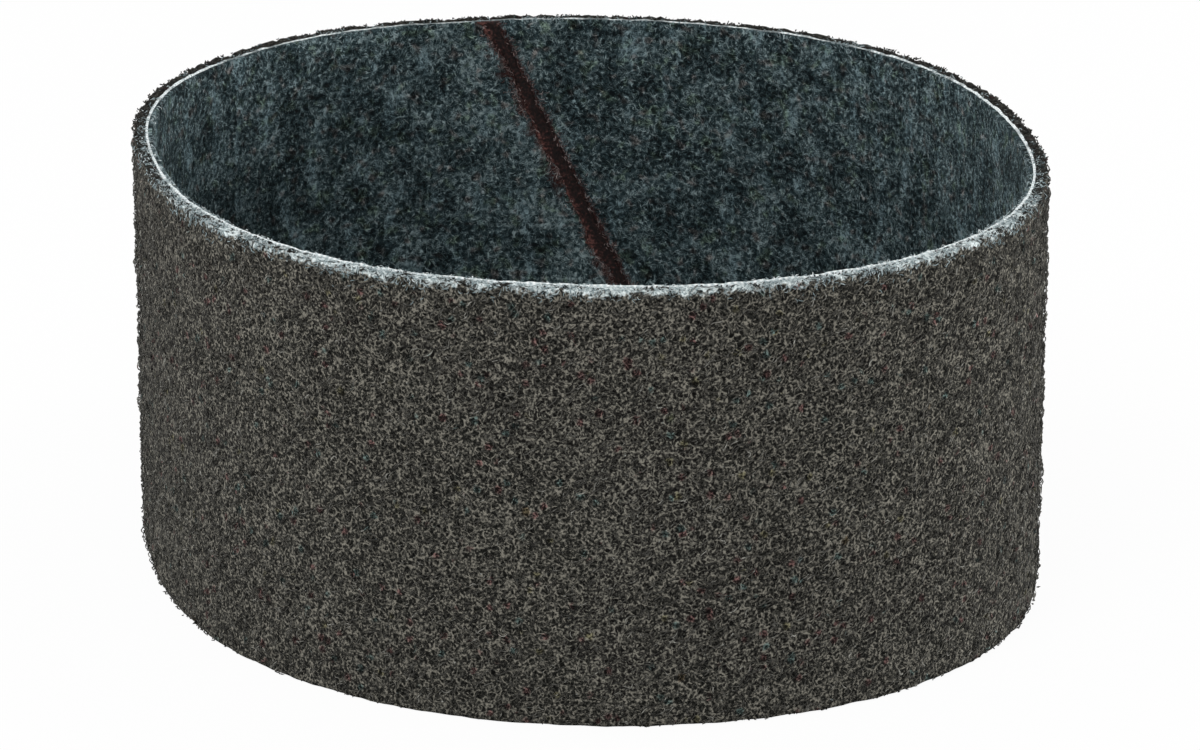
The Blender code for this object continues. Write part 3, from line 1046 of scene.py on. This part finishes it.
# %% Fibres caught in the bead
CAUGHT = 1600
SHARE_ON_LEFT = 0.7
rng = np.random.default_rng(400)
ahead, rise, share = walk(rng, CAUGHT, steps=4, step=0.40 * MM, swing=0.8, wave=2 * MM, drift=0.4)
start = rng.uniform(0.5 * MM, BELT_WIDTH - 0.5 * MM, CAUGHT)
on_left = rng.random(CAUGHT) < SHARE_ON_LEFT
bead_edge = np.where(
    on_left, np.interp(start, bead_rows, bead_left), np.interp(start, bead_rows, bead_right)
)
spread = (rng.gamma(1.6, 0.45, CAUGHT) - 0.4) * MM * np.where(on_left, 1, -0.6)
up = fold_back(start[:, None] + rise, OFF_FLOOR, BELT_WIDTH)
along = splice_at(start)[:, None] + (bead_edge + spread)[:, None] + ahead
lift = 0.20 + rng.uniform(0, 0.30, (CAUGHT, 1)) - 0.25 * share**4
add_fibres(
    "splice_fibres", "felt_backing", along, up, FELT_IN - lift * MM,
    rng.uniform(0.08, 0.14, CAUGHT) * MM, stained_fibre, rng.uniform(0.0, 0.9, CAUGHT),
)

# %% [markdown]
# The cloth, the felt and the web are sheets, cut to the belt's width and length and held flat
# on each other by the bond.

# %% [markdown]
# ## Floor, light and camera
# The photograph has a white ground and soft light from all sides, a little stronger from above
# and in front. Both ends of the loop are bright too, so two low lamps stand beside it. The floor
# is white to the camera and still takes a soft shadow. The camera's place and lens come from
# fitting the rim, the foot and the splice to the photograph.

# %% Floor
FLOOR_SIZE = 8.0
FLOOR_WHITE = 0.95


def white_to_camera(tree):
    """1 for rays from the camera, or seen in a gloss or through glass, else 0."""
    rays = node(tree, "LightPath")
    seen = node(
        tree, "Math", {0: rays.outputs["Is Camera Ray"], 1: rays.outputs["Is Glossy Ray"]},
        operation="MAXIMUM",
    )
    return node(
        tree, "Math", {0: seen.outputs[0], 1: rays.outputs["Is Transmission Ray"]},
        operation="MAXIMUM",
    ).outputs[0]


corners = [(-FLOOR_SIZE, -FLOOR_SIZE, 0), (FLOOR_SIZE, -FLOOR_SIZE, 0)]
corners += [(FLOOR_SIZE, FLOOR_SIZE, 0), (-FLOOR_SIZE, FLOOR_SIZE, 0)]
floor_mesh = bpy.data.meshes.new("floor")
floor_mesh.from_pydata(corners, [], [(0, 1, 2, 3)])
floor = bpy.data.objects.new("floor", floor_mesh)
bpy.context.scene.collection.objects.link(floor)
paper, tree, shader = new_material("matt white paper sweep", 1.0)
shader.inputs["Base Color"].default_value = linear("#e6e6e6")
white = node(tree, "Emission", {"Color": (1, 1, 1, 1), "Strength": 1.0})
share = node(tree, "Math", {0: white_to_camera(tree), 1: FLOOR_WHITE}, operation="MULTIPLY")
mixed = node(tree, "MixShader", {0: share.outputs[0], 1: shader.outputs[0], 2: white.outputs[0]})
tree.links.new(mixed.outputs[0], tree.nodes["Material Output"].inputs["Surface"])
floor_mesh.materials.append(paper)

# %% Light
WORLD_LIGHT = 0.75
world = bpy.data.worlds.new("studio")
bpy.context.scene.world = world
world.use_nodes = True
tree = world.node_tree
strength = node(tree, "MapRange", {0: white_to_camera(tree), 3: WORLD_LIGHT, 4: 1.0})
tree.nodes["Background"].inputs["Color"].default_value = (1, 1, 1, 1)
tree.links.new(strength.outputs[0], tree.nodes["Background"].inputs["Strength"])


def add_lamp(name, position, size, power):
    """A square soft box that faces the middle of the belt."""
    lamp = bpy.data.lights.new(name, "AREA")
    lamp.size = size
    lamp.energy = power
    lamp_object = bpy.data.objects.new(name, lamp)
    lamp_object.location = position
    aim = Vector((0, 0, BELT_WIDTH / 2)) - Vector(position)
    lamp_object.rotation_euler = aim.to_track_quat("-Z", "Y").to_euler()
    bpy.context.scene.collection.objects.link(lamp_object)


add_lamp("key", (-0.4, -0.8, 0.9), 0.5, 5.0)
add_lamp("low front", (0.1, -1.1, 0.15), 0.4, 2.5)
add_lamp("left", (-0.95, 0.28, 0.16), 0.3, 5.4)
add_lamp("right", (0.95, 0.24, 0.16), 0.3, 8.0)

# %% Camera
AIM = (0.38 * MM, 0.45 * MM, 37.5 * MM)
ELEVATION = math.radians(17.68)
DISTANCE = 0.9112
LENS_MM = 152.2
SHIFT = (0.0115, -0.0278)
camera = bpy.data.cameras.new("camera")
camera.sensor_width = 36
camera.lens = LENS_MM
camera.shift_x, camera.shift_y = SHIFT
viewer = bpy.data.objects.new("camera", camera)
back, above = DISTANCE * math.cos(ELEVATION), DISTANCE * math.sin(ELEVATION)
viewer.location = (AIM[0], AIM[1] - back, AIM[2] + above)
viewer.rotation_euler = (math.pi / 2 - ELEVATION, 0, 0)
bpy.context.scene.collection.objects.link(viewer)
bpy.context.scene.camera = viewer
bpy.context.scene.view_settings.view_transform = "Standard"
